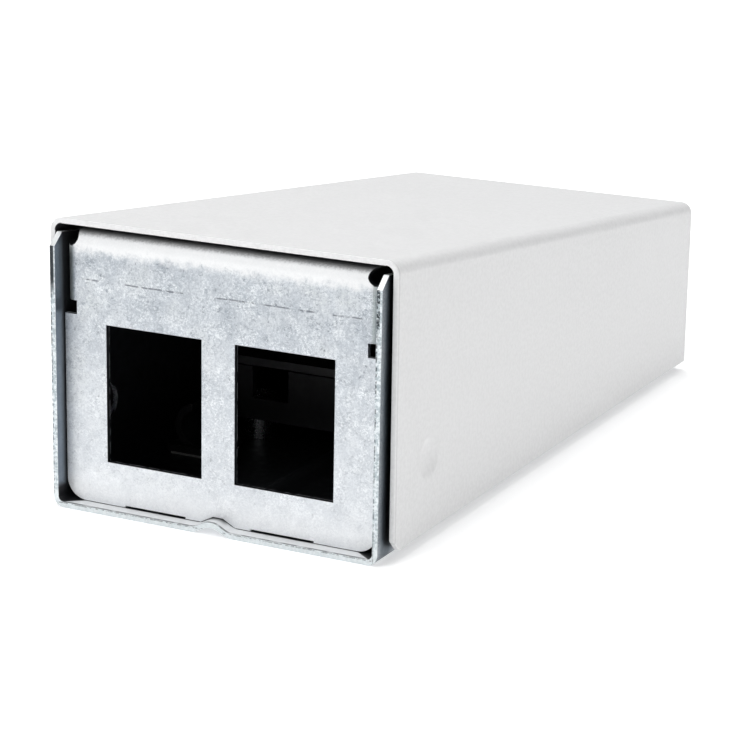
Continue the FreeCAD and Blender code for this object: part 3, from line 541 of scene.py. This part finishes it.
# painted light on the panel's face and foot, a painted highlight on its top bend, and painted shade
# under the cover's edge and on the side bends
PAINTED_LIGHT_HEIGHT = (34.0, 2.0, 0.0, 0.42)
FOOT_LIGHT_HEIGHT = (7.0, 1.5, 0.0, 0.5)
TOP_BEND_HIGHLIGHT = (panel_high.z - 3.6, panel_high.z - 1.9)
TOP_BEND_HIGHLIGHT_WOBBLE = 2.6
COVER_SHADE = (panel_high.z - 0.8, panel_high.z - 0.1, 0.0, 0.55)
COVER_SHADE_WOBBLE = 0.9
COVER_SHADE_DEPTH = (3.0, 2.0)
SIDE_BEND = (panel_high.x - 1.55, panel_high.x - 1.2)
SIDE_BEND_HEIGHT = (panel_high.z - 11.0, panel_high.z - 9.5)

SCRATCH_HEIGHT = panel_high.z - 6.5
SCRATCH_EDGE = (0.16, 0.04)
SCRATCH_WANDER = 0.5
SCRATCH_FRAY = 1.0
SCRATCH_END = 0.35
# each dash of the scratch, from and to along X
SCRATCHES = ((-20.8, -18.6), (-14.0, -12.3), (-11.6, -8.8), (-7.9, -5.4), (-0.1, 5.2), (6.4, 10.4),
             (12.0, 14.2), (16.8, 21.0))

PORTS_SPAN = (PORTS_OUTER + 1.2, PORTS_OUTER + 0.7)
PORTS_ABOVE = (PORTS_TOP + 0.9, PORTS_TOP + 0.4)
PORTS_BELOW = (PORTS_SILL - 2.3, PORTS_SILL - 1.7)
CUT_FACE_DEPTH = (0.06, 0.12)
ARRIS_DEPTH = (SHEET - 0.1, SHEET, 0.04)
# the centre of the right relief, X and Z
RELIEF_PLACE = (panel_high.x - 0.95, panel_high.z - 1.0)
RELIEF_RADIUS = (1.22, 1.16)
RELIEF_DEPTH = (0.03, 0.1)

BACK_DEPTH = (SHEET - 0.06, SHEET + 0.04)
# the rims of the flanges that are left without painted shade, measured from a panel's top and sides
BACK_RIM_TOP = (0.4, 0.6)
BACK_RIM_SIDE = (0.3, 0.6)


def painted_shade_behind(paint, behind, span_x, z, high):
    """Near-black painted shade behind a panel's face, up to the rims of its flanges."""
    return paint.times(
        paint.ramp(behind, *BACK_DEPTH),
        paint.ramp(z, *(high.z - rim for rim in BACK_RIM_TOP)),
        paint.ramp(span_x, *(high.x - rim for rim in BACK_RIM_SIDE)),
    )


def panel_painted_light_and_shade(paint, base, behind, span_x, z):
    """Painted light that pales the face downwards and lifts its foot, a painted highlight on the top
    bend with painted shade on it under the cover's edge, and painted shade on the side bends.
    """
    # painted light: the face pales towards the bottom, and its foot is lifted to near white
    base = paint.between(paint.ramp(z, *PAINTED_LIGHT_HEIGHT), base, (0.93, 0.945, 0.96))
    foot_light = paint.ramp(z, *FOOT_LIGHT_HEIGHT)
    base = paint.between(foot_light, base, (0.98, 0.99, 1.0))
    # painted highlight along the top bend, with a ragged lower edge
    highlight_height = paint.plus(z, paint.wobble(TOP_BEND_HIGHLIGHT_WOBBLE, 0.9, 5.0, 0.65))
    bright = paint.times(paint.ramp(highlight_height, *TOP_BEND_HIGHLIGHT), 0.85)
    base = paint.between(bright, base, (0.95, 0.955, 0.955))
    # painted shade on the top bend just under the cover's front edge
    cover_shade_height = paint.plus(z, paint.wobble(COVER_SHADE_WOBBLE, 3.0, 3.0, 0.7))
    cover_shade = paint.times(paint.ramp(cover_shade_height, *COVER_SHADE), paint.ramp(behind, *COVER_SHADE_DEPTH))
    base = paint.between(cover_shade, base, SHADE_BLACK)
    # painted shade on the side bends
    side_bend_shade = paint.times(paint.ramp(span_x, *SIDE_BEND), 0.6, paint.ramp(z, *SIDE_BEND_HEIGHT))
    return paint.between(side_bend_shade, base, (0.36, 0.41, 0.40)), paint.largest(cover_shade, foot_light, bright)


def worn_scratch(paint, base, x, z):
    """A thin worn line across the panel, broken into dashes with frayed ends."""
    wander = paint.wobble(SCRATCH_WANDER, 0.12, 2.0)
    off_line = paint.absolute(paint.plus(paint.minus(z, SCRATCH_HEIGHT), wander))
    worn = paint.ramp(paint.noise(1.1, 3.0, 0.6), 0.42, 0.52, 0.3, 1.0)
    line = paint.times(paint.ramp(off_line, *SCRATCH_EDGE), worn)
    along = paint.plus(x, paint.wobble(SCRATCH_FRAY, 1.5, 2.0))
    for start, end in SCRATCHES:
        dash = paint.times(paint.band(along, start, end, SCRATCH_END), line, 0.75)
        base = paint.between(dash, base, (0.12, 0.13, 0.15))
    return base


def panel_painted_shade(paint, behind, span_x, z):
    """Near-black painted shade on the openings' cut faces, in the corner reliefs and behind the face.
    """
    ports = paint.times(
        paint.ramp(span_x, *PORTS_SPAN),
        paint.ramp(z, *PORTS_ABOVE),
        paint.ramp(z, *PORTS_BELOW),
    )
    cut_faces = paint.times(paint.ramp(behind, *CUT_FACE_DEPTH), ports)
    relief_x, relief_z = (
        paint.minus(place, centre) for place, centre in zip((span_x, z), RELIEF_PLACE)
    )
    squares = paint.plus(paint.times(relief_x, relief_x), paint.times(relief_z, relief_z))
    in_relief = paint.ramp(paint.math("SQRT", squares), *RELIEF_RADIUS)
    reliefs = paint.times(in_relief, paint.ramp(behind, *RELIEF_DEPTH))
    back = painted_shade_behind(paint, behind, span_x, z, panel_high)
    painted_shade = paint.largest(cut_faces, back, reliefs)
    # the painted shade is left off in broken patches along the openings' arris, so a faint line of bare
    # zinc shows
    arris_gaps = paint.ramp(paint.noise(1.0, 3.0), 0.42, 0.55, 0.0, 0.35)
    unshaded_arris = paint.times(paint.band(behind, *ARRIS_DEPTH), ports, arris_gaps)
    return paint.times(painted_shade, paint.minus(1.0, unshaded_arris))


def panel_marks(paint, base):
    """Front panel: painted light and a painted highlight on the face and bends, painted shade under the
    cover and on the side bends, a broken scratch, and near-black painted shade behind the face.
    """
    x, y, z = (paint.axis(name) for name in "XYZ")
    span_x = paint.absolute(x)
    behind = paint.minus(y, panel_low.y)
    base, matt = panel_painted_light_and_shade(paint, base, behind, span_x, z)
    base = worn_scratch(paint, base, x, z)
    return base, panel_painted_shade(paint, behind, span_x, z), matt


def rear_marks(paint, base):
    """Rear panel: near-black painted shade behind the face."""
    x, y, z = (paint.axis(name) for name in "XYZ")
    behind = paint.minus(rear_high.y, y)
    painted_shade = painted_shade_behind(paint, behind, paint.absolute(x), z, rear_high)
    return base, painted_shade, painted_shade


# ---- hardware and plastics ----

def plain_metal(name, light, dark, roughness, per_mm=1.2):
    paint = Paint(name)
    paint.value("Metallic", 1.0)
    paint.colour(paint.mottle(paint.noise(per_mm, 4.0, 0.6), dark, light))
    paint.uneven_roughness(paint.noise(per_mm * 2, 3.0), roughness - 0.06, roughness + 0.08)
    paint.bump(paint.noise(per_mm * 4, 2.0), 0.004, 0.4)
    return paint.material


def moulded(name, light, dark, roughness, grain=0.006, per_mm=2.5):
    paint = Paint(name)
    paint.colour(paint.mottle(paint.noise(0.15, 3.0), dark, light))
    paint.uneven_roughness(paint.noise(0.8, 3.0), roughness - 0.05, roughness + 0.07)
    paint.bump(paint.noise(per_mm, 3.0, 0.55), grain, 0.6)
    return paint.material


# name, light and dark colour, roughness, and where they differ the grain's depth and its fineness
METALS = (
    ("zinc_hardware", (0.74, 0.76, 0.78), (0.60, 0.62, 0.64), 0.28),
    ("brass_post", (0.80, 0.60, 0.28), (0.66, 0.47, 0.20), 0.26),
)
MOULDINGS = (
    ("black_rubber", (0.035, 0.035, 0.036), (0.02, 0.02, 0.021), 0.6, 0.012),
    ("tray_plastic", (0.024, 0.024, 0.027), (0.016, 0.016, 0.019), 0.55),
    ("lid_plastic", (0.05, 0.05, 0.054), (0.036, 0.036, 0.04), 0.42, 0.004, 1.2),
    ("comb_elastomer", (0.05, 0.05, 0.055), (0.03, 0.03, 0.035), 0.65, 0.012),
    ("clip_plastic", (0.03, 0.03, 0.03), (0.02, 0.02, 0.02), 0.45),
    ("foam_tape", (0.66, 0.66, 0.64), (0.52, 0.52, 0.50), 0.9, 0.05, 4.0),
)


def make_materials():
    made = {
        "white_powder_coat": powder_coat(),
        "cover_inside_shade": cover_inside_shade(),
        "galvanised_sheet": galvanised("galvanised_sheet"),
        "galvanised_channel": galvanised("galvanised_channel", channel_marks),
        "galvanised_front": galvanised("galvanised_front", panel_marks),
        "galvanised_rear": galvanised("galvanised_rear", rear_marks),
    }
    for settings in METALS:
        made[settings[0]] = plain_metal(*settings)
    for settings in MOULDINGS:
        made[settings[0]] = moulded(*settings)
    return made


# ---- pieces ----

WELD_GAP = 0.0005
MERGE_GAP = 0.001
FLAT_ANGLE = math.radians(0.4)
SHARP_ANGLE = math.radians(32.0)
INNER_FACE_TURN = -0.3
BOX_AXIS_HEIGHT = 10.0
NODE_ROUNDING = 0.1

# name, CAD node, body, slot, material and edge rounding of each sheet-metal piece
SHEET_PIECES = (
    ("cover_shell", "cover", "cover", "white_powder_coat", "white_powder_coat", 0.16),
    ("channel_body", "base_channel", "box", "galvanised_sheet", "galvanised_channel", 0.07),
    ("port_panel", "front_panel", "box", "galvanised_sheet", "galvanised_front", 0.07),
    ("entry_panel", "rear_panel", "box", "galvanised_sheet", "galvanised_rear", 0.07),
    ("clamp_bridge", "cable_clamp", "box", "galvanised_sheet", "galvanised_sheet", 0.07),
)


def finish_mesh(piece, rounding, segments=2):
    """Round the sharp edges and smooth the bends, keeping flat faces flat."""
    for polygon in piece.data.polygons:
        polygon.use_smooth = True
    weld = piece.modifiers.new("weld", "WELD")
    weld.merge_threshold = WELD_GAP * MM
    bevel = piece.modifiers.new("edge_rounding", "BEVEL")
    bevel.width = rounding * MM
    bevel.segments = segments
    bevel.limit_method = "ANGLE"
    bevel.angle_limit = SHARP_ANGLE
    bevel.use_clamp_overlap = True
    normals = piece.modifiers.new("flat_faces", "WEIGHTED_NORMAL")
    normals.keep_sharp = False


def looks_inward(face):
    """True for a face that looks towards the long axis of the box."""
    centre = face.calc_center_median()
    outward = centre - Vector((0.0, centre.y, BOX_AXIS_HEIGHT * MM))
    return face.normal.dot(outward.normalized()) < INNER_FACE_TURN


def sheet_piece(name, node, body, material, rounding, inner_material=None):
    """A sheet-metal piece: the CAD shape with clean flat faces and rounded sheared edges."""
    mesh = nodes[node].data.copy()
    mesh.name = name
    bm = bmesh.new()
    bm.from_mesh(mesh)
    bmesh.ops.remove_doubles(bm, verts=bm.verts, dist=MERGE_GAP * MM)
    bmesh.ops.dissolve_limit(bm, angle_limit=FLAT_ANGLE, verts=bm.verts, edges=bm.edges)
    bm.normal_update()
    for face in bm.faces:
        face.material_index = int(inner_material is not None and looks_inward(face))
    mesh.materials.clear()
    for finish in (material, inner_material):
        if finish is not None:
            mesh.materials.append(finish)
    bm.to_mesh(mesh)
    bm.free()
    piece = bpy.data.objects.new(name, mesh)
    bpy.context.scene.collection.objects.link(piece)
    finish_mesh(piece, rounding, 3)
    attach(piece, body)
    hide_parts(node)


def dress_node(node, material):
    """A CAD node that keeps its shape: a better material and softened edges."""
    item = nodes[node]
    item.data.materials.clear()
    item.data.materials.append(material)
    finish_mesh(item, NODE_ROUNDING)


# ---- the scene ----

materials = make_materials()
add_camera()
add_world()
add_floor()

for name, node, body, slot, material, rounding in SHEET_PIECES:
    # the cover's inner faces get the near-black painted shade
    inner = materials["cover_inside_shade"] if node == "cover" else None
    sheet_piece(name, node, body, materials[material], rounding, inner)

replaced = {piece[1] for piece in SHEET_PIECES}
for part in frame["record"]["subparts"]:
    if part["node"] not in replaced:
        dress_node(part["node"], materials[part["material_slot"]])

for settings in AREA_LIGHTS:
    add_area_light(*settings)

bpy.context.scene.view_settings.view_transform = "Standard"
